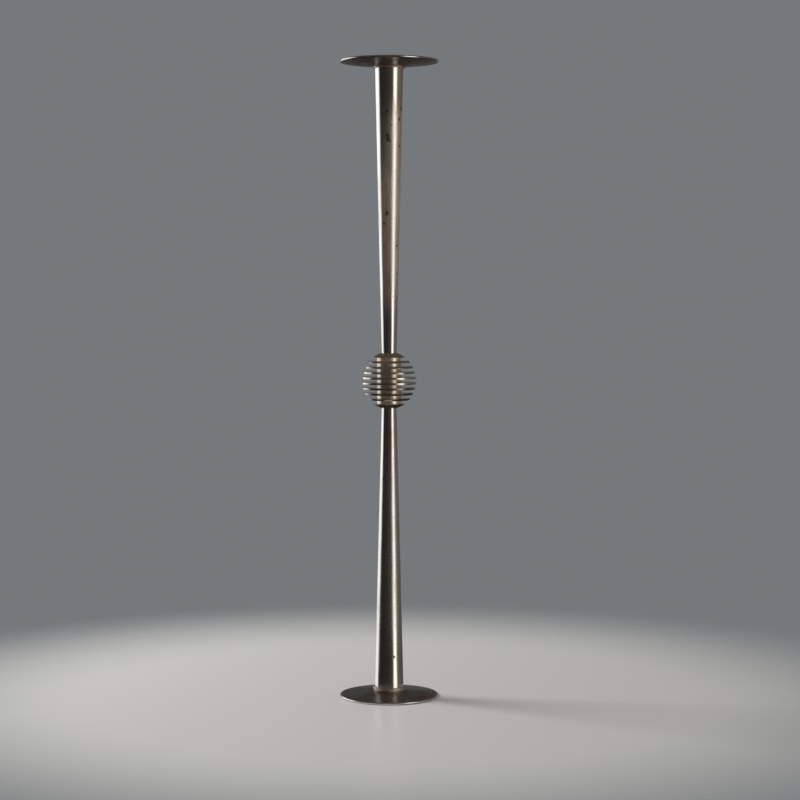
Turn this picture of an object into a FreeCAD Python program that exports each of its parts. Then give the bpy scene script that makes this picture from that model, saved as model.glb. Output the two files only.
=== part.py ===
import FreeCAD, Part
import math
import os

# Candlestick of silver-plated brass. Two tapered tubes meet at a ball of graded discs.
# The foot dish and the drip dish are one form, and the drip dish is turned over.
# A tie rod under tension holds the whole stack together.
# Millimetres. +Z is up. The origin is the centre of the foot's resting plane.

# Overall
overall_height = 553.0

# Dishes
dish_diameter = 86.0
dish_rise = 5.7
dish_shell = 1.6
rim_thickness = 2.2
foot_land = 1.8

# Candle socket
candle_diameter = 22.0
candle_clearance = 0.1
socket_depth = 18.0
socket_floor = 2.0
cup_wall = 0.45
cup_flange = 0.8
boss_wall = 2.5
boss_height = 10.0

# Stems
stem_wall = 0.6
neck_diameter = 13.3

# Collars
collar_wall = 1.1
foot_collar_height = 3.1
drip_collar_height = 1.6
collar_round = 0.8
seat_margin = 0.25

# Ball
ball_diameter = 47.4
cap_rise = 5.0
disc_count = 8
disc_thickness = 1.75
disc_gap = 2.9
core_diameter = 21.2
cap_ledge = 0.15
spigot_height = 4.0

# Tie rod and its fastening under the foot
rod_diameter = 6.0
rod_tail = 1.0
rod_headroom = 1.0
rod_chamfer = 0.5
nut_wall = 2.0
nut_thickness = 3.2
washer_thickness = 1.2
washer_margin = 1.3
ground_gap = 2.3

# Clearances, all radial
slip_clearance = 0.05
rod_clearance = 0.08
foot_hole_clearance = 0.2
dish_hole_clearance = 0.1

# Heights and radii that follow
ball_centre = overall_height / 2
stack_half = (disc_count * disc_thickness + (disc_count + 1) * disc_gap) / 2
ball_radius = ball_diameter / 2
ball_half_height = stack_half + cap_rise
neck_radius = neck_diameter / 2
cap_seat_radius = neck_radius + cap_ledge
rod_radius = rod_diameter / 2
rod_hole = rod_radius + rod_clearance


def ball_radius_at(height):
    """Radius of the ball's outline at a height above or below its centre."""
    return ball_radius * math.sqrt(1 - (height / ball_half_height) ** 2)


cap_seat = ball_half_height * math.sqrt(1 - (cap_seat_radius / ball_radius) ** 2)
stem_length = ball_centre - cap_seat - dish_rise

# The stem's mouth is as wide as the socket needs, because the tube has narrowed a little
# by the depth of the socket's floor
socket_radius = candle_diameter / 2 + candle_clearance
cup_top = overall_height - dish_rise + dish_shell + cup_flange
cup_floor_bottom = cup_top - socket_depth - socket_floor
cup_reach = overall_height - dish_rise - cup_floor_bottom
narrowing = cup_reach / stem_length
stem_at_floor = socket_radius + cup_wall + slip_clearance + stem_wall
mouth_radius = (stem_at_floor - neck_radius * narrowing) / (1 - narrowing)
collar_radius = mouth_radius + collar_wall
seat_radius = collar_radius + seat_margin

nut_bottom = ground_gap + rod_tail
washer_bottom = nut_bottom + nut_thickness
hub_ceiling = washer_bottom + washer_thickness
hub_top = hub_ceiling + dish_shell


def at(radius, height):
    """A point of a turned outline."""
    return FreeCAD.Vector(radius, 0, height)


def outline(corners):
    """Straight edges through corners given as (radius, height)."""
    points = [at(radius, height) for radius, height in corners]
    return [Part.makeLine(start, end) for start, end in zip(points, points[1:])]


def bow(start, middle, end):
    """One arc through three points given as (radius, height)."""
    return Part.Arc(at(*start), at(*middle), at(*end)).toShape()


def turned(edges):
    """The solid that a closed outline sweeps about the vertical axis."""
    face = Part.Face(Part.Wire(edges))
    return face.revolve(FreeCAD.Vector(0, 0, 0), FreeCAD.Vector(0, 0, 1), 360)


def turned_over(shape):
    """A piece of the lower half, moved to its place in the upper half."""
    other = shape.copy()
    other.rotate(FreeCAD.Vector(0, 0, ball_centre), FreeCAD.Vector(1, 0, 0), 180)
    return other


def stem_radius_at(distance):
    """Outside radius of a stem at a distance from its mouth."""
    return mouth_radius - (mouth_radius - neck_radius) * distance / stem_length


def stem_bore_at(distance):
    """Inside radius of a stem at a distance from its mouth."""
    return stem_radius_at(distance) - stem_wall


def dish_edges(hole_radius):
    """The dish from the hole's edge on top, out round the rolled rim, and back underneath."""
    bead_radius = rim_thickness / 2
    bead_centre = dish_diameter / 2 - bead_radius
    land_edge = bead_centre - foot_land
    slope = (dish_rise - rim_thickness) / (bead_centre - seat_radius)
    land_ceiling = rim_thickness + slope * foot_land - dish_shell
    top = outline([(hole_radius, dish_rise), (seat_radius, dish_rise), (bead_centre, rim_thickness)])
    bead = bow((bead_centre, rim_thickness), (dish_diameter / 2, bead_radius), (bead_centre, 0))
    below = outline([
        (bead_centre, 0),
        (land_edge, 0),
        (land_edge, land_ceiling),
        (seat_radius, dish_rise - dish_shell),
        (hole_radius, dish_rise - dish_shell),
    ])
    return top + [bead] + below


def foot_dish():
    """Dish with its rim down. Its hub centres the stem and makes room for the nut."""
    hub_radius = stem_bore_at(0) - slip_clearance
    hub_top_radius = stem_bore_at(hub_top - dish_rise) - slip_clearance
    pocket_radius = hub_radius - dish_shell
    hole = rod_radius + foot_hole_clearance
    body = turned(dish_edges(pocket_radius) + outline([
        (pocket_radius, dish_rise - dish_shell),
        (pocket_radius, dish_rise),
    ]))
    hub = turned(outline([
        (hole, hub_top),
        (hub_top_radius, hub_top),
        (hub_radius, dish_rise),
        (hub_radius, dish_rise - dish_shell),
        (pocket_radius, dish_rise - dish_shell),
        (pocket_radius, hub_ceiling),
        (hole, hub_ceiling),
        (hole, hub_top),
    ]))
    return body.fuse(hub).removeSplitter()


def drip_dish():
    """The same dish turned over, with a hole for the candle cup."""
    hole = stem_bore_at(0) - slip_clearance + dish_hole_clearance
    wall = outline([(hole, dish_rise - dish_shell), (hole, dish_rise)])
    return turned_over(turned(dish_edges(hole) + wall))


def foot_washer():
    """Flat washer that nearly fills the pocket under the hub."""
    radius = stem_bore_at(0) - slip_clearance - dish_shell - washer_margin
    inner = rod_radius + foot_hole_clearance
    return turned(outline([
        (inner, washer_bottom),
        (radius, washer_bottom),
        (radius, hub_ceiling),
        (inner, hub_ceiling),
        (inner, washer_bottom),
    ]))


def foot_nut():
    """Hexagon jam nut with its corners turned down at both faces."""
    flat_radius = rod_radius + nut_wall
    corner_radius = flat_radius / math.cos(math.pi / 6)
    corners = []
    for turn in range(7):
        angle = turn * math.pi / 3
        corners.append(FreeCAD.Vector(corner_radius * math.cos(angle), corner_radius * math.sin(angle), 0))
    prism = Part.Face(Part.makePolygon(corners)).extrude(FreeCAD.Vector(0, 0, nut_thickness))
    prism.translate(FreeCAD.Vector(0, 0, nut_bottom))
    chamfer_height = (corner_radius - flat_radius) / 2
    inner = rod_radius + slip_clearance
    blank = turned(outline([
        (inner, nut_bottom),
        (flat_radius, nut_bottom),
        (corner_radius, nut_bottom + chamfer_height),
        (corner_radius, washer_bottom - chamfer_height),
        (flat_radius, washer_bottom),
        (inner, washer_bottom),
        (inner, nut_bottom),
    ]))
    return prism.common(blank)


def collar(height):
    """Ring that wedges on the taper at a stem's mouth and seats on the dish."""
    top = dish_rise + height
    foot_bore = stem_radius_at(0) + slip_clearance
    top_bore = stem_radius_at(height) + slip_clearance
    shoulder = collar_radius - collar_round
    diagonal = collar_round * math.sqrt(0.5)
    round_middle = (shoulder + diagonal, top - collar_round + diagonal)
    lower = outline([(top_bore, top), (foot_bore, dish_rise), (collar_radius, dish_rise)])
    side = outline([(collar_radius, dish_rise), (collar_radius, top - collar_round)])
    rounded = bow((collar_radius, top - collar_round), round_middle, (shoulder, top))
    return turned(lower + side + [rounded] + outline([(shoulder, top), (top_bore, top)]))


def lower_stem():
    """Thin tapered tube with its mouth on the foot dish and its neck on the ball."""
    neck = dish_rise + stem_length
    return turned(outline([
        (stem_bore_at(0), dish_rise),
        (mouth_radius, dish_rise),
        (neck_radius, neck),
        (neck_radius - stem_wall, neck),
        (stem_bore_at(0), dish_rise),
    ]))


def lower_ball_cap():
    """Dome that closes the ball, with a flat seat and a spigot for the stem's neck."""
    inner_face = ball_centre - stack_half
    seat = ball_centre - cap_seat
    middle_height = (stack_half + cap_seat) / 2
    spigot_radius = neck_radius - stem_wall - slip_clearance
    dome = bow(
        (cap_seat_radius, seat),
        (ball_radius_at(middle_height), ball_centre - middle_height),
        (ball_radius_at(stack_half), inner_face),
    )
    inside = outline([
        (ball_radius_at(stack_half), inner_face),
        (rod_hole, inner_face),
        (rod_hole, seat - spigot_height),
        (spigot_radius, seat - spigot_height),
        (spigot_radius, seat),
        (cap_seat_radius, seat),
    ])
    return turned([dome] + inside)


def disc(low):
    """Disc of the ball with its lower face at a height above the ball's centre."""
    high = low + disc_thickness
    middle = low + disc_thickness / 2
    rim = bow(
        (ball_radius_at(low), ball_centre + low),
        (ball_radius_at(middle), ball_centre + middle),
        (ball_radius_at(high), ball_centre + high),
    )
    faces = outline([
        (ball_radius_at(high), ball_centre + high),
        (rod_hole, ball_centre + high),
        (rod_hole, ball_centre + low),
        (ball_radius_at(low), ball_centre + low),
    ])
    return turned([rim] + faces)


def spacer(low):
    """Ring between two discs, with its lower face at a height above the ball's centre."""
    core_radius = core_diameter / 2
    bottom = ball_centre + low
    top = bottom + disc_gap
    return turned(outline([
        (rod_hole, bottom),
        (core_radius, bottom),
        (core_radius, top),
        (rod_hole, top),
        (rod_hole, bottom),
    ]))


def candle_cup():
    """Socket that hangs in the stem's mouth by its flange, and screws on the rod."""
    flange_bottom = cup_top - cup_flange
    mouth = overall_height - dish_rise
    floor_top = cup_top - socket_depth
    neck = stem_bore_at(0) - slip_clearance
    foot = stem_bore_at(cup_reach) - slip_clearance
    thread = rod_radius + slip_clearance
    boss = rod_radius + boss_wall
    boss_bottom = cup_floor_bottom - boss_height
    return turned(outline([
        (0, cup_floor_bottom),
        (0, floor_top),
        (socket_radius, floor_top),
        (socket_radius, cup_top),
        (collar_radius, cup_top),
        (collar_radius, flange_bottom),
        (neck, flange_bottom),
        (neck, mouth),
        (foot, cup_floor_bottom),
        (boss, cup_floor_bottom),
        (boss, boss_bottom),
        (thread, boss_bottom),
        (thread, cup_floor_bottom),
        (0, cup_floor_bottom),
    ]))


def tie_rod():
    """Rod from just under the nut to just under the floor of the candle cup."""
    top = cup_floor_bottom - rod_headroom
    tip = rod_radius - rod_chamfer
    return turned(outline([
        (0, ground_gap),
        (tip, ground_gap),
        (rod_radius, ground_gap + rod_chamfer),
        (rod_radius, top - rod_chamfer),
        (tip, top),
        (0, top),
        (0, ground_gap),
    ]))


pieces = {
    "foot_dish": foot_dish(),
    "foot_washer": foot_washer(),
    "foot_nut": foot_nut(),
    "foot_collar": collar(foot_collar_height),
    "lower_stem": lower_stem(),
    "lower_ball_cap": lower_ball_cap(),
    "upper_ball_cap": turned_over(lower_ball_cap()),
    "upper_stem": turned_over(lower_stem()),
    "drip_collar": turned_over(collar(drip_collar_height)),
    "drip_dish": drip_dish(),
    "candle_cup": candle_cup(),
    "tie_rod": tie_rod(),
}

pitch = disc_thickness + disc_gap
for index in range(disc_count):
    pieces[f"disc_{index + 1}"] = disc(index * pitch + disc_gap - stack_half)
for index in range(disc_count + 1):
    pieces[f"spacer_{index + 1}"] = spacer(index * pitch - stack_half)

os.makedirs("parts", exist_ok=True)
for name, shape in pieces.items():
    shape.exportStep(f"parts/{name}.step")
print(f"stem mouth {2 * mouth_radius:.2f} mm outside, {len(pieces)} pieces")
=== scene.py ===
import math

import bmesh
import bpy
from bpy.props import FloatProperty, FloatVectorProperty, IntProperty, PointerProperty
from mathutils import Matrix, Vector, noise


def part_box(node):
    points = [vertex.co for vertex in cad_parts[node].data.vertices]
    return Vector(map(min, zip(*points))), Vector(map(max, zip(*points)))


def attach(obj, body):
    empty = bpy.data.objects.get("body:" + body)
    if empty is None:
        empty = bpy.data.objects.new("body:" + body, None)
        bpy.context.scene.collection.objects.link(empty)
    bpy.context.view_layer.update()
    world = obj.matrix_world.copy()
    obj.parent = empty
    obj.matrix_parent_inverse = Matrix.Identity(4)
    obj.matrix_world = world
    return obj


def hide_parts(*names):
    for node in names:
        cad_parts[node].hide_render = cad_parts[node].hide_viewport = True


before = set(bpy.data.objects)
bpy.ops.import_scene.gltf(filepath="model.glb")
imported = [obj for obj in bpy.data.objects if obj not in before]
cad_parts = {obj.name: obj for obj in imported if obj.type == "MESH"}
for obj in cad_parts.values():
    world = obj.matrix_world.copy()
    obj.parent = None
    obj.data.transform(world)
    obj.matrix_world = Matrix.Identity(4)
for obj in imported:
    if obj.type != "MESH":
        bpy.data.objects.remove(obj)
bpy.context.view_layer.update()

# Silver-plated candlestick: every visible piece is turned again as a smooth mesh with eased
# edges, inside the solid that it stands for, and gets a worn and tarnished finish.
# Metres and radians throughout, unless a name says degrees.

bl_info = {
    "name": "Silver Candlestick",
    "version": (1, 0, 0),
    "blender": (4, 5, 0),
    "location": "3D View > Sidebar > Candlestick",
    "description": "Builds a tall candlestick of two tapered stems and a ball of discs",
    "category": "Add Mesh",
}

MM = 0.001
BODY = "root"
DISC_NODES = sorted(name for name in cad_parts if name.startswith("disc_"))
SPACER_NODES = sorted(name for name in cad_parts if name.startswith("spacer_"))

# Turned grooves of a dish, as shares of the way from the rim's land to the seat
GROOVE_PLACES = (0.12, 0.5, 0.56)

# Noise that dents the stems: how much height counts against the way round, and its scale
DENT_HEIGHT_SCALE = 28
DENT_NOISE_SCALE = 1.7

# Stage: metres, with azimuth and tilt in degrees, and the lens in millimetres
FLOOR_RADIUS = 0.6
FLOOR_DROP = 0.05 * MM
LAMP_AZIMUTH = -112.0
LAMP_DISTANCE = 1.5
LAMP_HEIGHT = 1.1
CAMERA_PLACE = (0.0095, -1.8304, 0.3599)
CAMERA_TILT_DOWN = 3.14
CAMERA_LENS = 94.86


def bottom(node):
    """Height of a solid's lowest point."""
    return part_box(node)[0].z


def top(node):
    """Height of a solid's highest point."""
    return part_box(node)[1].z


def reach(node):
    """Radius of a turned solid at its widest."""
    return max(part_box(node)[1].x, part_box(node)[1].y)


def length_property(name, description, default):
    """A length that a user may change."""
    return FloatProperty(name=name, description=description, default=default, min=0.0,
                         subtype="DISTANCE", unit="LENGTH", precision=5)


def colour_property(name, description, default):
    """A linear colour that a user may change."""
    return FloatVectorProperty(name=name, description=description, default=default, size=3,
                               min=0.0, max=1.0, subtype="COLOR")


class CandlestickSizes(bpy.types.PropertyGroup):
    """Sizes of the turned pieces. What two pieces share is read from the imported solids."""

    dish_radius: length_property("Dish radius", "Radius of both dishes at the rim", reach("foot_dish"))
    dish_rise: length_property("Dish rise", "From the rim's plane to the seat", bottom("foot_collar"))
    dish_shell: length_property("Dish shell", "Thickness between rim and seat", 1.6 * MM)
    rim_thickness: length_property("Rim thickness", "Thickness of the rolled rim", 2.2 * MM)
    foot_land: length_property("Foot land", "Width of the flat that the rim stands on", 1.8 * MM)
    groove_width: length_property("Groove width", "Width of the dishes' turned grooves", 1.0 * MM)
    groove_depth: length_property("Groove depth", "Depth of the dishes' turned grooves", 0.3 * MM)
    seat_margin: length_property("Seat margin", "Flat ring outside the collar", 0.25 * MM)
    pocket_margin: length_property("Pocket margin", "From the washer to the pocket's wall", 1.3 * MM)
    collar_round: length_property("Collar round", "Rounding of the collar's outer edge", 0.9 * MM)
    neck_radius: length_property("Neck radius", "Radius of a stem at the ball", 6.65 * MM)
    stem_wall: length_property("Stem wall", "Thickness of the stems' tube", 0.6 * MM)
    dent_depth: length_property("Dent depth", "Depth of the dents in the stems", 0.07 * MM)
    ball_radius: length_property("Ball radius", "Radius of the ball at its middle", 23.7 * MM)
    cap_rise: length_property("Cap rise", "Ball's outline above the caps' faces", 5.0 * MM)
    cap_ledge: length_property("Cap ledge", "Flat of the cap outside the stem", 0.15 * MM)
    rod_hole: length_property("Rod hole", "Radius of the holes round the tie rod", 3.08 * MM)
    socket_radius: length_property("Socket radius", "Radius of the bore", 11.1 * MM)
    socket_depth: length_property("Socket depth", "Depth of the bore", 18.0 * MM)
    cup_wall: length_property("Cup wall", "Thickness of the cup's wall", 0.45 * MM)
    cup_flange: length_property("Cup flange", "Thickness of the cup's flange", 0.8 * MM)
    boss_radius: length_property("Boss radius", "Radius of the cup's threaded boss", 5.5 * MM)
    boss_height: length_property("Boss height", "Height of the cup's threaded boss", 10.0 * MM)
    rod_clearance: length_property("Rod clearance", "Gap round the rod in the foot", 0.2 * MM)
    rod_chamfer: length_property("Rod chamfer", "Chamfer of the tie rod's ends", 0.5 * MM)
    thread_pitch: length_property("Thread pitch", "Pitch of the tie rod's thread", 1.0 * MM)
    thread_depth: length_property("Thread depth", "Depth of the tie rod's thread", 0.4 * MM)
    thread_length: length_property("Thread length", "Threaded length at the foot", 5.0 * MM)
    edge_ease: length_property("Edge ease", "Rounding of turned edges", 0.3 * MM)
    fit_gap: length_property("Fit gap", "Clearance between pieces that slip together", 0.05 * MM)
    turning_steps: IntProperty(name="Turning steps", description="Faces round each turned piece",
                               default=144, min=24)


class CandlestickFinish(bpy.types.PropertyGroup):
    """Colours of the metal, clean and tarnished, and of the stage."""

    silver: colour_property("Silver", "Clean silver plate", (0.79, 0.765, 0.735))
    aged_silver: colour_property("Aged silver", "Plate under a thin warm film", (0.70, 0.61, 0.54))
    # Paler than clean silver: on the stems it is partly a painted highlight.
    golden_film_and_highlight: colour_property("Golden film", "Plate under golden tarnish", (0.98, 0.90, 0.80))
    core_film: colour_property("Core film", "Plate under the core's warm film", (1.0, 0.88, 0.75))
    dish_film: colour_property("Dish film", "Plate of the dishes under grey film", (0.42, 0.38, 0.35))
    tarnish: colour_property("Tarnish", "Plate under brown tarnish", (0.33, 0.235, 0.165))
    # The stems also use this colour as a painted reflection tint on their front strip.
    bronze: colour_property("Bronze", "Heavy warm tarnish between the discs", (0.74, 0.52, 0.36))
    copper: colour_property("Copper", "Base metal where the plate is gone", (0.74, 0.50, 0.40))
    spot: colour_property("Spot", "Black tarnish spots", (0.022, 0.017, 0.014))
    steel: colour_property("Steel", "Dulled zinc plate on the fastening", (0.36, 0.35, 0.33))
    floor: colour_property("Floor", "Plain pale floor", (0.60, 0.592, 0.57))
    backdrop: colour_property("Backdrop", "Plain grey background", (0.181, 0.191, 0.202))


def sizes():
    """The sizes in use."""
    return bpy.context.scene.candlestick_sizes


def finish():
    """The colours in use."""
    return bpy.context.scene.candlestick_finish


# Outlines and turned meshes

def eased(corners, steps=3):
    """A closed outline from corners (radius, height, easing), each rounded by its easing."""
    points = []
    for index, (radius, height, easing) in enumerate(corners):
        here = Vector((radius, height))
        before = Vector(corners[index - 1][:2]) - here
        after = Vector(corners[(index + 1) % len(corners)][:2]) - here
        cut = min(easing, 0.45 * before.length, 0.45 * after.length)
        if cut <= 0:
            points.append(here)
            continue
        start = here + before.normalized() * cut
        end = here + after.normalized() * cut
        for step in range(steps + 1):
            share = step / steps
            bend = 2 * share * (1 - share) * here
            points.append((1 - share) ** 2 * start + bend + share ** 2 * end)
    return points


def turned_mesh(name, outline, dent_depth=0.0):
    """A closed mesh that the outline sweeps about the vertical axis, dented inwards."""
    steps = sizes().turning_steps
    mesh = bmesh.new()
    rings = []
    for radius, height in outline:
        if radius < 1e-7:
            rings.append([mesh.verts.new((0, 0, height))] * steps)
            continue
        ring = []
        for step in range(steps):
            angle = 2 * math.pi * step / steps
            spot = Vector((math.cos(angle), math.sin(angle), DENT_HEIGHT_SCALE * height))
            dented = radius - dent_depth * (0.5 + 0.5 * noise.noise(DENT_NOISE_SCALE * spot))
            ring.append(mesh.verts.new((dented * spot.x, dented * spot.y, height)))
        rings.append(ring)
    for ring, above in zip(rings, rings[1:] + rings[:1]):
        for step in range(steps):
            after = (step + 1) % steps
            corners = [ring[step], ring[after], above[after], above[step]]
            distinct = list(dict.fromkeys(corners))
            if len(distinct) > 2:
                mesh.faces.new(distinct)
    return finished_mesh(name, mesh)


def finished_mesh(name, mesh, sharp_degrees=32):
    """Mesh data with outward faces, and smooth but for its sharp edges."""
    bmesh.ops.recalc_face_normals(mesh, faces=mesh.faces)
    data = bpy.data.meshes.new(name)
    mesh.to_mesh(data)
    mesh.free()
    data.shade_smooth()
    data.set_sharp_from_angle(angle=math.radians(sharp_degrees))
    return data


def place(data, material, slot, *nodes):
    """Links a piece, gives it its finish and lets it stand for its solid."""
    piece = bpy.data.objects.new(data.name, data)
    bpy.context.scene.collection.objects.link(piece)
    data.materials.append(material)
    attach(piece, BODY)
    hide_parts(*nodes)
    return piece


def turned_over(outline):
    """An outline of the lower half, moved to the upper half."""
    height = top("drip_dish")
    return [Vector((point[0], height - point[1])) for point in outline]


def mouth_radius():
    """Outside radius of a stem at its mouth."""
    return reach("lower_stem")


def mouth_bore():
    """Inside radius of a stem at its mouth."""
    return mouth_radius() - sizes().stem_wall


def stem_radius_at(distance):
    """Outside radius of a stem at a distance from its mouth."""
    length = top("lower_stem") - bottom("lower_stem")
    return mouth_radius() - (mouth_radius() - sizes().neck_radius) * distance / length


def ball_centre():
    """Height of the ball's middle."""
    return top("drip_dish") / 2


def ball_radius_at(height):
    """Radius of the ball's outline at a height above or below its middle."""
    half_height = top("spacer_9") - ball_centre() + sizes().cap_rise
    return sizes().ball_radius * math.sqrt(1 - (height / half_height) ** 2)


def arc_corners(start, end, steps, radius_at):
    """Corners with no easing along a curve, without its two ends."""
    heights = [start + (end - start) * step / steps for step in range(1, steps)]
    return [(radius_at(height), height, 0) for height in heights]


# Outlines of the pieces

def dish_top_and_rim():
    """Corners of the dish from the seat out round the rolled rim."""
    size = sizes()
    bead = size.rim_thickness / 2
    centre = size.dish_radius - bead
    seat = reach("foot_collar") + size.seat_margin
    corners = [(seat, size.dish_rise, 0.4 * MM), (centre, size.rim_thickness, 0.5 * MM)]
    arc_steps = 12
    for step in range(1, arc_steps):
        angle = math.pi / 2 - math.pi * step / arc_steps
        corners.append((centre + bead * math.cos(angle), bead + bead * math.sin(angle), 0))
    return corners + [(centre, 0, 0)]


def dish_underside():
    """Corners of the dish from the rim's land in to the seat, with three turned grooves."""
    size = sizes()
    centre = size.dish_radius - size.rim_thickness / 2
    seat = reach("foot_collar") + size.seat_margin
    land_edge = centre - size.foot_land
    slope = (size.dish_rise - size.rim_thickness) / (centre - seat)

    def shell_height(radius):
        return size.dish_rise - size.dish_shell - slope * (radius - seat)

    corners = [(land_edge, 0, size.edge_ease), (land_edge, shell_height(land_edge), size.edge_ease)]
    half = size.groove_width / 2
    easing = 0.2 * MM
    for share in GROOVE_PLACES:
        groove = land_edge - share * (land_edge - seat)
        corners.append((groove + half, shell_height(groove + half), easing))
        corners.append((groove, shell_height(groove) + size.groove_depth, easing))
        corners.append((groove - half, shell_height(groove - half), easing))
    return corners + [(seat, shell_height(seat), 0.4 * MM)]


def foot_outline():
    """Outline of the foot dish with the hub that centres the stem."""
    size = sizes()
    pocket = reach("foot_washer") + size.pocket_margin
    hub = pocket + size.dish_shell
    hole = reach("tie_rod") + size.rod_clearance
    under = size.dish_rise - size.dish_shell
    return eased([
        (hole, top("foot_dish"), size.edge_ease),
        (hub - 0.1 * MM, top("foot_dish"), size.edge_ease),
        (hub, size.dish_rise, 0),
        *dish_top_and_rim(),
        *dish_underside(),
        (pocket, under, size.edge_ease),
        (pocket, top("foot_washer"), size.edge_ease),
        (hole, top("foot_washer"), size.edge_ease),
    ])


def drip_outline():
    """Outline of the drip dish, which is the foot's form turned over, with a hole."""
    size = sizes()
    hole = mouth_bore() + size.fit_gap
    under = size.dish_rise - size.dish_shell
    ring = [(hole, size.dish_rise, size.edge_ease), *dish_top_and_rim(), *dish_underside()]
    return turned_over(eased(ring + [(hole, under, size.edge_ease)]))


def collar_outline(height):
    """Outline of the ring round a stem's mouth, with a rounded outer edge."""
    size = sizes()
    low = size.dish_rise
    high = low + height
    outer = reach("foot_collar")
    foot_bore = stem_radius_at(0) + size.fit_gap
    top_bore = stem_radius_at(high - low) + size.fit_gap
    return eased([
        (foot_bore, low, 0.1 * MM),
        (outer, low, 0.35 * MM),
        (outer, high, size.collar_round),
        (top_bore, high, 0.15 * MM),
    ], steps=6)


def stem_outline():
    """Outline of a stem's tapered tube, in short lengths so that it can be dented."""
    size = sizes()
    low, high = bottom("lower_stem"), top("lower_stem")
    rows = round((high - low) / (2.5 * MM))
    corners = []
    for row in range(rows + 1):
        distance = (high - low) * row / rows
        corners.append((stem_radius_at(distance), low + distance, 0))
    neck_bore = size.neck_radius - size.stem_wall
    return eased(corners + [(neck_bore, high, 0), (mouth_bore(), low, 0)])


def cap_outline():
    """Outline of the dome that closes the ball, with the spigot for the stem's neck."""
    size = sizes()
    inner_face = top("lower_ball_cap")
    seat = top("lower_stem")
    seat_radius = size.neck_radius + size.cap_ledge
    spigot = size.neck_radius - size.stem_wall - size.fit_gap

    def outline_radius(height):
        return ball_radius_at(height - ball_centre())

    return eased([
        (seat_radius, seat, 0),
        *arc_corners(seat, inner_face, 10, outline_radius),
        (outline_radius(inner_face), inner_face, 0.2 * MM),
        (size.rod_hole, inner_face, 0.1 * MM),
        (size.rod_hole, bottom("lower_ball_cap"), 0.1 * MM),
        (spigot, bottom("lower_ball_cap"), size.edge_ease),
        (spigot, seat, 0),
    ])


def disc_outline(node):
    """Outline of one disc, with its rim on the ball's curve."""
    size = sizes()
    low, high = bottom(node), top(node)

    def outline_radius(height):
        return ball_radius_at(height - ball_centre())

    return eased([
        (size.rod_hole, low, 0),
        (outline_radius(low), low, 0.22 * MM),
        *arc_corners(low, high, 4, outline_radius),
        (outline_radius(high), high, 0.22 * MM),
        (size.rod_hole, high, 0),
    ])


def spacer_outline(node):
    """Outline of one ring of the core, with its edges eased."""
    size = sizes()
    low, high = bottom(node), top(node)
    outer = reach(node)
    return eased([
        (size.rod_hole, low, 0),
        (outer, low, 0.15 * MM),
        (outer, high, 0.15 * MM),
        (size.rod_hole, high, 0),
    ])


def cup_outline():
    """Outline of the candle cup with its flange, its bore and its threaded boss."""
    size = sizes()
    high = top("candle_cup")
    low = bottom("candle_cup")
    flange = reach("candle_cup")
    mouth = top("upper_stem")
    body_low = low + size.boss_height
    neck = mouth_bore() - size.fit_gap
    foot = size.socket_radius + size.cup_wall
    rod = reach("tie_rod") + size.fit_gap
    return eased([
        (0, body_low, 0),
        (0, high - size.socket_depth, 0),
        (size.socket_radius, high - size.socket_depth, size.edge_ease),
        (size.socket_radius, high, 0.25 * MM),
        (flange, high, 0.3 * MM),
        (flange, high - size.cup_flange, 0.15 * MM),
        (neck, high - size.cup_flange, 0),
        (neck, mouth, 0),
        (foot, body_low, size.edge_ease),
        (size.boss_radius, body_low, size.edge_ease),
        (size.boss_radius, low, size.edge_ease),
        (rod, low, size.edge_ease),
        (rod, body_low, 0),
    ])


def rod_mesh(name):
    """The tie rod, with a helical thread cut at its foot."""
    size = sizes()
    low, high = bottom("tie_rod"), top("tie_rod")
    outer = reach("tie_rod")
    steps = 48
    rows_per_turn = 8
    threaded = round(size.thread_length / size.thread_pitch * rows_per_turn)
    heights = [low + size.thread_length * row / threaded for row in range(threaded + 1)]
    heights.append(high - size.rod_chamfer)
    heights.append(high)
    mesh = bmesh.new()
    rings = []
    for height in heights:
        ring = []
        for step in range(steps):
            turn = step / steps
            phase = ((height - low) / size.thread_pitch - turn) % 1.0
            groove = size.thread_depth * (1 - abs(2 * phase - 1))
            from_end = min(height - low, high - height)
            chamfer = max(0.0, size.rod_chamfer - from_end)
            runout = min(1.0, max(0.0, (low + size.thread_length - height) / size.thread_pitch))
            radius = outer - max(groove * runout, chamfer)
            angle = 2 * math.pi * turn
            ring.append(mesh.verts.new((radius * math.cos(angle), radius * math.sin(angle), height)))
        rings.append(ring)
    for ring, above in zip(rings, rings[1:]):
        for step in range(steps):
            after = (step + 1) % steps
            mesh.faces.new((ring[step], ring[after], above[after], above[step]))
    mesh.faces.new(rings[0])
    mesh.faces.new(rings[-1])
    return finished_mesh(name, mesh, sharp_degrees=50)


# Finishes

# Azimuth in degrees, height above the floor and radius of each black stain on the stems
STEM_STAINS = (
    (-5.0, 0.4872, 2.7 * MM),
    (-4.0, 0.4842, 2.4 * MM),
    (5.0, 0.4825, 1.5 * MM),
    (-7.0, 0.5085, 1.8 * MM),
    (11.0, 0.4967, 1.0 * MM),
    (48.0, 0.5016, 2.0 * MM),
    (62.0, 0.5110, 2.2 * MM),
    (54.0, 0.4790, 1.4 * MM),
    (-10.0, 0.4210, 2.4 * MM),
    (-26.0, 0.4124, 1.6 * MM),
    (-27.0, 0.3933, 1.3 * MM),
    (47.0, 0.3933, 1.6 * MM),
    (60.0, 0.3692, 1.2 * MM),
    (20.0, 0.0360, 1.8 * MM),
    (-20.0, 0.0600, 1.2 * MM),
    (150.0, 0.4600, 2.2 * MM),
    (205.0, 0.1300, 2.0 * MM),
    (262.0, 0.3900, 1.8 * MM),
    (118.0, 0.0850, 1.7 * MM),
)


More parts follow.
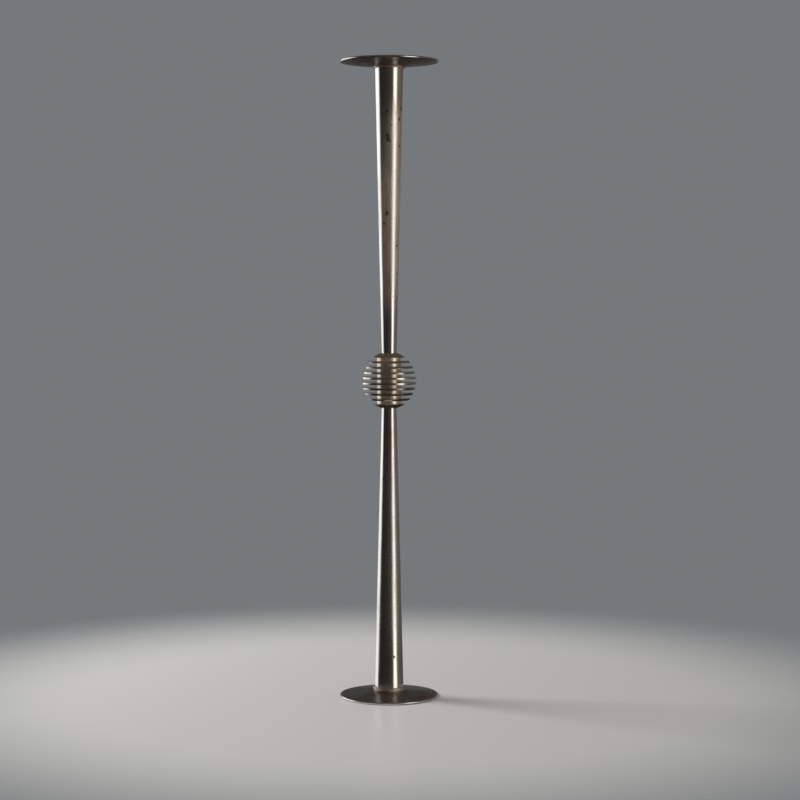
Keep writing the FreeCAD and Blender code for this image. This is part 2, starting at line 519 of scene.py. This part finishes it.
class Wiring:
    """Adds nodes to one tree and joins them."""

    def __init__(self, tree):
        tree.nodes.clear()
        self.tree = tree

    def node(self, kind, inputs, **settings):
        """A node with its settings made and its inputs fed."""
        added = self.tree.nodes.new(kind)
        for name, value in settings.items():
            setattr(added, name, value)
        for name, value in inputs.items():
            self.feed(added.inputs[name], value)
        return added

    def feed(self, socket, value):
        """Joins another node's output to a socket, or sets a plain value on it."""
        if isinstance(value, bpy.types.NodeSocket):
            self.tree.links.new(value, socket)
        else:
            socket.default_value = value

    def math(self, operation, *values):
        """The result of a Math node."""
        inputs = dict(enumerate(values))
        return self.node("ShaderNodeMath", inputs, operation=operation).outputs[0]

    def product(self, *values):
        """Several values multiplied together."""
        result = values[0]
        for value in values[1:]:
            result = self.math("MULTIPLY", result, value)
        return result

    def total(self, *values):
        """Several values added together."""
        result = values[0]
        for value in values[1:]:
            result = self.math("ADD", result, value)
        return result

    def between(self, value, low, high, to_low=0.0, to_high=1.0):
        """A value eased from one range to another, and held at its ends."""
        inputs = {0: value, 1: low, 2: high, 3: to_low, 4: to_high}
        settings = {"interpolation_type": "SMOOTHSTEP", "clamp": True}
        return self.node("ShaderNodeMapRange", inputs, **settings).outputs[0]

    def window(self, value, rise_start, rise_end, fall_start, fall_end):
        """A value that rises from 0 to 1, and falls back to 0."""
        rise = self.between(value, rise_start, rise_end)
        return self.product(rise, self.between(value, fall_start, fall_end, 1.0, 0.0))

    def blend(self, share, first, second, blend_type="MIX"):
        """A colour between two colours, or the first with a share of the second on it."""
        inputs = {0: share, 6: opaque(first), 7: opaque(second)}
        settings = {"data_type": "RGBA", "blend_type": blend_type}
        return self.node("ShaderNodeMix", inputs, **settings).outputs[2]

    def stretched(self, place, scale):
        """A place scaled along each axis."""
        return self.node("ShaderNodeMapping", {0: place, 3: scale}).outputs[0]

    def cloud(self, place, scale, detail=3.0, roughness=0.55, distortion=0.0):
        """A noise value, near 0.5 on average."""
        inputs = {"Vector": place, "Scale": scale, "Detail": detail, "Roughness": roughness,
                  "Distortion": distortion}
        return self.node("ShaderNodeTexNoise", inputs).outputs["Fac"]

    def pits(self, place, scale, size):
        """A value that is 1 in sparse round spots, whose radius is at most the size."""
        seeds = self.node("ShaderNodeTexVoronoi", {"Vector": place, "Scale": scale})
        return self.between(seeds.outputs["Distance"], 0.55 * size * scale, size * scale, 1.0, 0.0)

    def stain(self, place, centre, radius):
        """A value that is 1 near a point on the piece."""
        away = self.node("ShaderNodeVectorMath", {0: place, 1: centre}, operation="DISTANCE")
        return self.between(away.outputs["Value"], 0.35 * radius, 1.1 * radius, 1.0, 0.0)


def opaque(colour):
    """A plain colour with full alpha. A socket is left as it is."""
    return colour if isinstance(colour, bpy.types.NodeSocket) else (*colour[:3], 1.0)


def new_finish(name):
    """A material with an empty node tree, and the place on the piece as a socket."""
    material = bpy.data.materials.new(name)
    material.use_nodes = True
    wiring = Wiring(material.node_tree)
    spot_place = wiring.node("ShaderNodeTexCoord", {}).outputs["Object"]
    return material, wiring, spot_place


def metal_surface(wiring, colour, roughness, relief, relief_depth, metallic=1.0):
    """Joins colour, roughness and relief to one metal shader. A film is less than all metal."""
    bump = wiring.node("ShaderNodeBump", {"Strength": 1.0, "Distance": relief_depth, "Height": relief})
    shader = wiring.node("ShaderNodeBsdfPrincipled", {
        "Base Color": colour, "Metallic": metallic, "Roughness": roughness, "Normal": bump.outputs[0]})
    wiring.node("ShaderNodeOutputMaterial", {"Surface": shader.outputs[0]})


def flat_place(wiring, spot_place):
    """The place on the piece with its height left out."""
    parts = wiring.node("ShaderNodeSeparateXYZ", {0: spot_place})
    return wiring.node("ShaderNodeCombineXYZ", {0: parts.outputs[0], 1: parts.outputs[1]}).outputs[0]


def side_share(wiring, spot_place, degrees, low, high):
    """A value that is 1 on the side facing an azimuth, counted from -Y towards +X."""
    flat = flat_place(wiring, spot_place)
    unit = wiring.node("ShaderNodeVectorMath", {0: flat}, operation="NORMALIZE")
    angle = math.radians(degrees)
    facing = (math.sin(angle), -math.cos(angle), 0)
    dot = wiring.node("ShaderNodeVectorMath", {0: unit.outputs[0], 1: facing}, operation="DOT_PRODUCT")
    return wiring.between(dot.outputs["Value"], low, high)


def axis_distance(wiring, spot_place):
    """Distance from the candlestick's axis."""
    flat = flat_place(wiring, spot_place)
    return wiring.node("ShaderNodeVectorMath", {0: flat}, operation="LENGTH").outputs["Value"]


def height_on_piece(wiring, spot_place):
    """Height above the floor."""
    return wiring.node("ShaderNodeSeparateXYZ", {0: spot_place}).outputs[2]


def stem_stains(wiring, spot_place):
    """A value that is 1 in the ragged black spots at the listed places of the stems."""
    ragged = wiring.node("ShaderNodeTexNoise", {"Vector": spot_place, "Scale": 700.0, "Detail": 3.0})
    shift = wiring.node("ShaderNodeVectorMath", {0: ragged.outputs["Color"], 1: (0.5, 0.5, 0.5)},
                        operation="SUBTRACT")
    shift = wiring.node("ShaderNodeVectorMath", {0: shift.outputs[0], "Scale": 3.5 * MM},
                        operation="SCALE")
    moved = wiring.node("ShaderNodeVectorMath", {0: spot_place, 1: shift.outputs[0]}, operation="ADD")
    stains = 0.0
    for azimuth, height, radius in STEM_STAINS:
        distance = min(height - sizes().dish_rise, top("upper_stem") - height)
        outside = stem_radius_at(distance)
        angle = math.radians(azimuth)
        centre = (outside * math.sin(angle), -outside * math.cos(angle), height)
        stains = wiring.math("MAXIMUM", stains, wiring.stain(moved.outputs[0], centre, radius))
    return stains


def stem_silver():
    """Silver plate of the stems: lengthwise streaks, brown film, spots and rubbed lengths, a golden
    film that partly paints the right-hand highlight, and a painted reflection tint on the front strip
    of the upper stem.
    """
    tones = finish()
    material, wiring, spot_place = new_finish("stem_silver")
    long_place = wiring.stretched(spot_place, (1.0, 1.0, 0.07))
    streaks = wiring.cloud(long_place, 420.0, 4.0, 0.6)
    film = wiring.cloud(wiring.stretched(spot_place, (1.0, 1.0, 0.4)), 60.0, 5.0, 0.6, 0.6)
    height = height_on_piece(wiring, spot_place)
    upper = wiring.window(height, 0.318, 0.375, 0.492, 0.528)
    lower = wiring.window(height, 0.022, 0.080, 0.180, 0.238)
    handled_and_highlight_side = 40.0
    painted_reflection_side = -18.0
    filmed_side = 25.0
    handled_and_highlight_share = side_share(wiring, spot_place, handled_and_highlight_side, 0.35, 0.95)
    mottled = wiring.total(wiring.product(film, 0.65), wiring.product(streaks, 0.35))
    colour = wiring.blend(wiring.between(mottled, 0.46, 0.66), tones.silver, tones.aged_silver)
    # Partly painted highlight: a golden film, made paler than clean silver and laid on the side where
    # the right-hand highlight falls, so that it brightens that highlight.
    golden = wiring.product(upper, handled_and_highlight_share, wiring.between(film, 0.25, 0.55, 0.6, 1.0))
    colour = wiring.blend(golden, colour, tones.golden_film_and_highlight)
    brown = wiring.product(wiring.between(mottled, 0.57, 0.72), 0.7)
    colour = wiring.blend(brown, colour, tones.tarnish)
    # Painted reflection: a warm bronze tint on the narrow front strip of the upper stem, where the
    # metal reflects the dark band between its two highlights.
    painted_reflection = wiring.product(side_share(wiring, spot_place, painted_reflection_side, 0.88, 0.98),
                            wiring.window(height, 0.325, 0.360, 0.430, 0.480))
    colour = wiring.blend(wiring.product(painted_reflection, 0.8), colour, tones.bronze)
    specks = wiring.product(wiring.pits(spot_place, 240.0, 0.45 * MM), 0.6)
    marks = wiring.math("MAXIMUM", wiring.product(stem_stains(wiring, spot_place), 0.85), specks)
    colour = wiring.blend(marks, colour, tones.spot)
    dull = wiring.between(streaks, 0.35, 0.70, 0.13, 0.18)
    rubbed = wiring.total(wiring.product(upper, 0.05), wiring.product(lower, 0.03))
    worn = wiring.total(wiring.product(upper, 0.15), wiring.product(lower, 0.11))
    uneven = wiring.between(film, 0.3, 0.7, 0.8, 1.2)
    dull = wiring.total(dull, rubbed, wiring.product(worn, handled_and_highlight_share, uneven), wiring.product(marks, 0.3))
    rings = wiring.cloud(wiring.stretched(spot_place, (1.0, 1.0, 30.0)), 60.0, 2.0)
    relief = wiring.total(wiring.product(rings, 0.08), wiring.product(streaks, 0.45))
    relief = wiring.math("SUBTRACT", relief, wiring.product(marks, 0.5))
    facing = side_share(wiring, spot_place, filmed_side, 0.25, 0.9)
    filmed = wiring.window(height, 0.325, 0.400, 0.440, 0.515)
    cover = wiring.product(facing, filmed, wiring.between(film, 0.30, 0.60, 0.05, 0.14))
    # The painted reflection strip also gets a little less metal, which lightens that band further.
    cover = wiring.total(cover, wiring.product(painted_reflection, 0.10))
    metallic = wiring.math("SUBTRACT", 1.0, cover)
    metal_surface(wiring, colour, dull, relief, 0.03 * MM, metallic)
    return material


def turned_marks(wiring, spot_place, scale):
    """Fine rings that the lathe tool leaves across a face and round an edge."""
    distance = axis_distance(wiring, spot_place)
    height = height_on_piece(wiring, spot_place)
    across = wiring.node("ShaderNodeCombineXYZ", {0: distance, 1: 0.0, 2: height})
    return wiring.cloud(across.outputs[0], scale, 2.0, 0.7)


def dish_silver():
    """Polished plate of the dishes under brown tarnish, worn bright at the rim."""
    tones = finish()
    material, wiring, spot_place = new_finish("dish_silver")
    film = wiring.cloud(spot_place, 55.0, 5.0, 0.62, 0.8)
    marks = turned_marks(wiring, spot_place, 1500.0)
    colour = wiring.blend(wiring.between(film, 0.36, 0.68), tones.dish_film, tones.tarnish)
    ragged = wiring.total(axis_distance(wiring, spot_place), wiring.product(film, 1.5 * MM))
    rim = sizes().dish_radius
    worn = wiring.between(ragged, rim - 1.2 * MM, rim + 0.2 * MM)
    colour = wiring.blend(worn, colour, tones.silver)
    spots = wiring.pits(spot_place, 110.0, 0.8 * MM)
    colour = wiring.blend(wiring.product(spots, 0.8), colour, tones.spot)
    dull = wiring.between(film, 0.30, 0.70, 0.29, 0.41)
    dull = wiring.total(dull, wiring.product(worn, -0.16))
    relief = wiring.math("SUBTRACT", wiring.product(marks, 0.15), wiring.product(spots, 0.5))
    metal_surface(wiring, colour, dull, relief, 0.02 * MM)
    return material


def disc_silver():
    """Plate of the discs and the caps: silver at the rim, warm towards the core, brown in patches."""
    tones = finish()
    material, wiring, spot_place = new_finish("disc_silver")
    film = wiring.cloud(spot_place, 90.0, 5.0, 0.62, 0.8)
    marks = turned_marks(wiring, spot_place, 1800.0)
    colour = wiring.blend(wiring.between(film, 0.34, 0.58), tones.silver, tones.aged_silver)
    distance = axis_distance(wiring, spot_place)
    inner = wiring.between(distance, 12.0 * MM, 22.0 * MM, 1.0, 0.0)
    colour = wiring.blend(wiring.product(inner, 0.7), colour, tones.core_film)
    brown = wiring.between(film, 0.55, 0.75)
    colour = wiring.blend(wiring.product(brown, 0.8), colour, tones.tarnish)
    spots = wiring.pits(spot_place, 150.0, 0.5 * MM)
    colour = wiring.blend(wiring.product(spots, 0.7), colour, tones.spot)
    dull = wiring.between(film, 0.35, 0.70, 0.17, 0.27)
    relief = wiring.math("SUBTRACT", wiring.product(marks, 0.2), wiring.product(spots, 0.4))
    metal_surface(wiring, colour, dull, relief, 0.02 * MM)
    return material


def collar_silver():
    """Thin plate on the collars, with the copper below showing through."""
    tones = finish()
    material, wiring, spot_place = new_finish("collar_silver")
    film = wiring.cloud(spot_place, 130.0, 5.0, 0.65, 0.5)
    colour = wiring.blend(wiring.between(film, 0.40, 0.60), tones.copper, tones.aged_silver)
    colour = wiring.blend(wiring.between(film, 0.58, 0.78), colour, tones.tarnish)
    dull = wiring.between(film, 0.3, 0.7, 0.46, 0.58)
    metal_surface(wiring, colour, dull, film, 0.02 * MM)
    return material


def core_bronze():
    """Warm tarnish on the core between the discs."""
    tones = finish()
    material, wiring, spot_place = new_finish("core_bronze")
    film = wiring.cloud(spot_place, 160.0, 5.0, 0.65, 0.5)
    colour = wiring.blend(wiring.between(film, 0.46, 0.74), tones.core_film, tones.bronze)
    dull = wiring.between(film, 0.3, 0.7, 0.29, 0.38)
    metal_share = 0.7
    metal_surface(wiring, colour, dull, film, 0.02 * MM, metal_share)
    return material


def cup_silver():
    """The candle cup: plate on its flange, dulled and soot-stained down the bore."""
    tones = finish()
    material, wiring, spot_place = new_finish("cup_silver")
    film = wiring.cloud(spot_place, 110.0, 5.0, 0.62, 0.4)
    height = height_on_piece(wiring, spot_place)
    mouth = top("candle_cup")
    depth = wiring.between(height, mouth - sizes().socket_depth, mouth, 1.0, 0.0)
    colour = wiring.blend(wiring.between(film, 0.40, 0.62), tones.silver, tones.aged_silver)
    soot = wiring.product(depth, wiring.between(film, 0.25, 0.65, 0.35, 1.0))
    colour = wiring.blend(soot, colour, tones.tarnish)
    dull = wiring.total(wiring.between(film, 0.3, 0.7, 0.20, 0.32), wiring.product(soot, 0.3))
    metal_surface(wiring, colour, dull, film, 0.03 * MM)
    return material


def fastening_steel():
    """Dulled zinc plate of the tie rod, the nut and the washer."""
    tones = finish()
    material, wiring, spot_place = new_finish("fastening_steel")
    film = wiring.cloud(spot_place, 380.0, 5.0, 0.65, 0.4)
    colour = wiring.blend(wiring.between(film, 0.35, 0.65), tones.steel, tones.tarnish)
    dull = wiring.between(film, 0.3, 0.7, 0.34, 0.55)
    metal_surface(wiring, colour, dull, film, 0.03 * MM)
    return material


# Pieces

class CANDLESTICK_OT_turn_foot(bpy.types.Operator):
    """Turns the foot dish."""

    bl_idname = "candlestick.turn_foot"
    bl_label = "Turn foot dish"

    def execute(self, context):
        material = dish_silver()
        place(turned_mesh("foot_dish_turned", foot_outline()), material, "dish_plate", "foot_dish")
        return {"FINISHED"}


class CANDLESTICK_OT_turn_drip_dish(bpy.types.Operator):
    """Turns the drip dish at the top."""

    bl_idname = "candlestick.turn_drip_dish"
    bl_label = "Turn drip dish"

    def execute(self, context):
        material = bpy.data.materials["dish_silver"]
        place(turned_mesh("drip_dish_turned", drip_outline()), material, "dish_plate", "drip_dish")
        return {"FINISHED"}


class CANDLESTICK_OT_turn_collars(bpy.types.Operator):
    """Turns the two collars at the stems' mouths."""

    bl_idname = "candlestick.turn_collars"
    bl_label = "Turn collars"

    def execute(self, context):
        material = collar_silver()
        foot_height = top("foot_collar") - bottom("foot_collar")
        drip_height = top("drip_collar") - bottom("drip_collar")
        outline = collar_outline(foot_height)
        place(turned_mesh("foot_collar_ring", outline), material, "collar_plate", "foot_collar")
        over = turned_over(collar_outline(drip_height))
        place(turned_mesh("drip_collar_ring", over), material, "collar_plate", "drip_collar")
        return {"FINISHED"}


class CANDLESTICK_OT_draw_stems(bpy.types.Operator):
    """Draws the two tapered stems."""

    bl_idname = "candlestick.draw_stems"
    bl_label = "Draw stems"

    def execute(self, context):
        material = stem_silver()
        outline = stem_outline()
        dent = sizes().dent_depth
        place(turned_mesh("lower_stem_tube", outline, dent), material, "stem_plate", "lower_stem")
        over = turned_over(outline)
        place(turned_mesh("upper_stem_tube", over, dent), material, "stem_plate", "upper_stem")
        return {"FINISHED"}


class CANDLESTICK_OT_turn_ball(bpy.types.Operator):
    """Turns the ball's two caps and its graded discs."""

    bl_idname = "candlestick.turn_ball"
    bl_label = "Turn ball caps and discs"

    def execute(self, context):
        material = disc_silver()
        outline = cap_outline()
        place(turned_mesh("lower_cap_dome", outline), material, "disc_plate", "lower_ball_cap")
        over = turned_over(outline)
        place(turned_mesh("upper_cap_dome", over), material, "disc_plate", "upper_ball_cap")
        for node in DISC_NODES:
            place(turned_mesh(f"ball_{node}", disc_outline(node)), material, "disc_plate", node)
        return {"FINISHED"}


class CANDLESTICK_OT_turn_spacers(bpy.types.Operator):
    """Turns the rings of the core between the discs."""

    bl_idname = "candlestick.turn_spacers"
    bl_label = "Turn core spacers"

    def execute(self, context):
        material = core_bronze()
        for node in SPACER_NODES:
            place(turned_mesh(f"ball_{node}", spacer_outline(node)), material, "core_plate", node)
        return {"FINISHED"}


class CANDLESTICK_OT_turn_cup(bpy.types.Operator):
    """Turns the cup that holds the candle."""

    bl_idname = "candlestick.turn_cup"
    bl_label = "Turn candle cup"

    def execute(self, context):
        place(turned_mesh("candle_cup_turned", cup_outline()), cup_silver(), "cup_plate", "candle_cup")
        return {"FINISHED"}


class CANDLESTICK_OT_cut_fastening(bpy.types.Operator):
    """Cuts the threaded tie rod, and finishes the nut and the washer."""

    bl_idname = "candlestick.cut_fastening"
    bl_label = "Cut tie rod and fastening"

    def execute(self, context):
        material = fastening_steel()
        place(rod_mesh("tie_rod_threaded"), material, "fastening_steel", "tie_rod")
        for node in ("foot_nut", "foot_washer"):
            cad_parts[node].data.materials.clear()
            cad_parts[node].data.materials.append(material)
        return {"FINISHED"}


# Stage

def floor_finish():
    """Plain pale floor that fades into the backdrop away from the foot."""
    material, wiring, spot_place = new_finish("floor_paint")
    tones = finish()
    distance = axis_distance(wiring, spot_place)
    shader = wiring.node("ShaderNodeBsdfPrincipled", {
        "Base Color": opaque(tones.floor), "Roughness": 0.34, "Specular IOR Level": 0.4})
    clear = wiring.node("ShaderNodeBsdfTransparent", {})
    path = wiring.node("ShaderNodeLightPath", {})
    fade = wiring.between(distance, 0.25, 0.55)
    edge = wiring.between(distance, 0.050, 0.075)
    glossy = wiring.product(path.outputs["Is Glossy Ray"], edge)
    share = wiring.math("MAXIMUM", fade, glossy)
    mixed = wiring.node("ShaderNodeMixShader", {0: share, 1: shader.outputs[0], 2: clear.outputs[0]})
    wiring.node("ShaderNodeOutputMaterial", {"Surface": mixed.outputs[0]})
    return material


def lay_floor():
    """A round floor just under the foot."""
    mesh = bmesh.new()
    bmesh.ops.create_circle(mesh, cap_ends=True, radius=FLOOR_RADIUS, segments=96)
    data = bpy.data.meshes.new("floor")
    mesh.to_mesh(data)
    mesh.free()
    data.materials.append(floor_finish())
    floor = bpy.data.objects.new("floor", data)
    floor.location.z = -FLOOR_DROP
    bpy.context.scene.collection.objects.link(floor)


def hang_lamp():
    """A soft lamp to the left and a little behind, which throws the shadow to the right."""
    lamp = bpy.data.lights.new("left_lamp", "AREA")
    lamp.shape = "DISK"
    lamp.size = 0.8
    lamp.energy = 30.0
    box = bpy.data.objects.new("left_lamp", lamp)
    angle = math.radians(LAMP_AZIMUTH)
    across = LAMP_DISTANCE * math.sin(angle)
    back = -LAMP_DISTANCE * math.cos(angle)
    box.location = (across, back, LAMP_HEIGHT)
    box.rotation_euler = (-box.location).to_track_quat("-Z", "Y").to_euler()
    box.visible_camera = False
    box.visible_glossy = False
    bpy.context.scene.collection.objects.link(box)


def surroundings(wiring, azimuth):
    """The dim studio round the candlestick, by azimuth in degrees from -Y towards +X."""
    grey = tuple(finish().backdrop)
    dark = (0.018, 0.0145, 0.0115)
    bands = (
        (-180.0, grey),
        (-166.0, grey),
        (-157.0, dark),
        (-25.0, dark),
        (5.0, (0.034, 0.027, 0.021)),
        (25.0, (0.060, 0.050, 0.040)),
        (80.0, (0.165, 0.150, 0.130)),
        (105.0, (0.120, 0.108, 0.098)),
        (135.0, (0.095, 0.088, 0.082)),
        (162.0, (0.150, 0.148, 0.146)),
        (180.0, grey),
    )
    turn = wiring.total(wiring.math("DIVIDE", azimuth, 360.0), 0.5)
    ramp = wiring.node("ShaderNodeValToRGB", {0: turn})
    band = ramp.color_ramp.elements
    band[0].color = opaque(bands[0][1])
    band[1].color = opaque(bands[-1][1])
    for degrees, colour in bands[1:-1]:
        band.new(degrees / 360.0 + 0.5).color = opaque(colour)
    return ramp.outputs[0]


def paint_world():
    """Grey backdrop to the camera, two soft boxes to the metal, and even light to all else."""
    tones = finish()
    world = bpy.data.worlds.new("studio")
    bpy.context.scene.world = world
    world.use_nodes = True
    wiring = Wiring(world.node_tree)
    direction = wiring.node("ShaderNodeTexCoord", {}).outputs["Generated"]
    parts = wiring.node("ShaderNodeSeparateXYZ", {0: direction}).outputs
    ahead = wiring.product(parts[1], -1.0)
    azimuth = wiring.math("DEGREES", wiring.math("ARCTAN2", parts[0], ahead))
    elevation = wiring.math("DEGREES", wiring.math("ARCSINE", parts[2]))
    steep = wiring.between(wiring.math("ABSOLUTE", elevation), 4.0, 20.0)
    below = (0.017, 0.0145, 0.013)
    above = (0.058, 0.051, 0.045)
    far = wiring.blend(wiring.between(elevation, -5.0, 5.0), below, above)
    around = wiring.blend(steep, surroundings(wiring, azimuth), far)
    leaning = wiring.total(azimuth, wiring.between(elevation, -9.0, -2.0, 15.0, 0.0))
    left = wiring.product(wiring.window(leaning, -158.0, -132.0, -98.0, -80.0),
                          wiring.window(elevation, -42.0, 4.0, 10.0, 38.0))
    cool_light = (1.30, 1.32, 1.35)
    around = wiring.blend(left, around, cool_light, "ADD")
    right = wiring.product(wiring.window(azimuth, 31.0, 46.0, 58.0, 75.0),
                           wiring.window(elevation, -44.0, -9.0, 10.0, 44.0))
    warm_light = (1.38, 1.34, 1.28)
    around = wiring.blend(right, around, warm_light, "ADD")
    path = wiring.node("ShaderNodeLightPath", {}).outputs
    even = wiring.blend(path["Is Glossy Ray"], (0.50, 0.50, 0.50), around)
    shown = wiring.blend(path["Is Camera Ray"], even, tones.backdrop)
    background = wiring.node("ShaderNodeBackground", {"Color": shown, "Strength": 1.0})
    wiring.node("ShaderNodeOutputWorld", {"Surface": background.outputs[0]})


def stand_camera():
    """The photograph's viewing angle."""
    lens = bpy.data.cameras.new("camera")
    lens.lens = CAMERA_LENS
    lens.sensor_width = 36.0
    camera = bpy.data.objects.new("camera", lens)
    camera.location = CAMERA_PLACE
    camera.rotation_euler = (math.radians(90.0 - CAMERA_TILT_DOWN), 0.0, 0.0)
    bpy.context.scene.collection.objects.link(camera)
    bpy.context.scene.camera = camera


class CANDLESTICK_OT_set_stage(bpy.types.Operator):
    """Lays the floor, hangs the soft lamp, paints the surroundings and stands the camera."""

    bl_idname = "candlestick.set_stage"
    bl_label = "Set stage"

    def execute(self, context):
        lay_floor()
        hang_lamp()
        paint_world()
        stand_camera()
        context.scene.view_settings.view_transform = "Standard"
        return {"FINISHED"}


PIECE_OPERATORS = (
    CANDLESTICK_OT_turn_foot,
    CANDLESTICK_OT_turn_drip_dish,
    CANDLESTICK_OT_turn_collars,
    CANDLESTICK_OT_draw_stems,
    CANDLESTICK_OT_turn_ball,
    CANDLESTICK_OT_turn_spacers,
    CANDLESTICK_OT_turn_cup,
    CANDLESTICK_OT_cut_fastening,
    CANDLESTICK_OT_set_stage,
)


class CANDLESTICK_PT_sidebar(bpy.types.Panel):
    """Lists the candlestick's pieces, its sizes and its finishes."""

    bl_idname = "CANDLESTICK_PT_sidebar"
    bl_label = "Candlestick"
    bl_space_type = "VIEW_3D"
    bl_region_type = "UI"
    bl_category = "Candlestick"

    def draw(self, context):
        for operator in PIECE_OPERATORS:
            self.layout.operator(operator.bl_idname)
        for group in (context.scene.candlestick_sizes, context.scene.candlestick_finish):
            for name in group.bl_rna.properties.keys():
                if name not in {"rna_type", "name"}:
                    self.layout.prop(group, name)


CLASSES = (CandlestickSizes, CandlestickFinish, *PIECE_OPERATORS, CANDLESTICK_PT_sidebar)


def register():
    """Adds the classes and the two groups of properties."""
    for item in CLASSES:
        bpy.utils.register_class(item)
    bpy.types.Scene.candlestick_sizes = PointerProperty(type=CandlestickSizes)
    bpy.types.Scene.candlestick_finish = PointerProperty(type=CandlestickFinish)


def unregister():
    """Takes the properties and the classes away."""
    del bpy.types.Scene.candlestick_finish
    del bpy.types.Scene.candlestick_sizes
    for item in reversed(CLASSES):
        bpy.utils.unregister_class(item)


def main():
    """Builds the candlestick and its stage."""
    register()
    bpy.ops.candlestick.turn_foot()
    bpy.ops.candlestick.turn_drip_dish()
    bpy.ops.candlestick.turn_collars()
    bpy.ops.candlestick.draw_stems()
    bpy.ops.candlestick.turn_ball()
    bpy.ops.candlestick.turn_spacers()
    bpy.ops.candlestick.turn_cup()
    bpy.ops.candlestick.cut_fastening()
    bpy.ops.candlestick.set_stage()


if __name__ == "__main__":
    main()
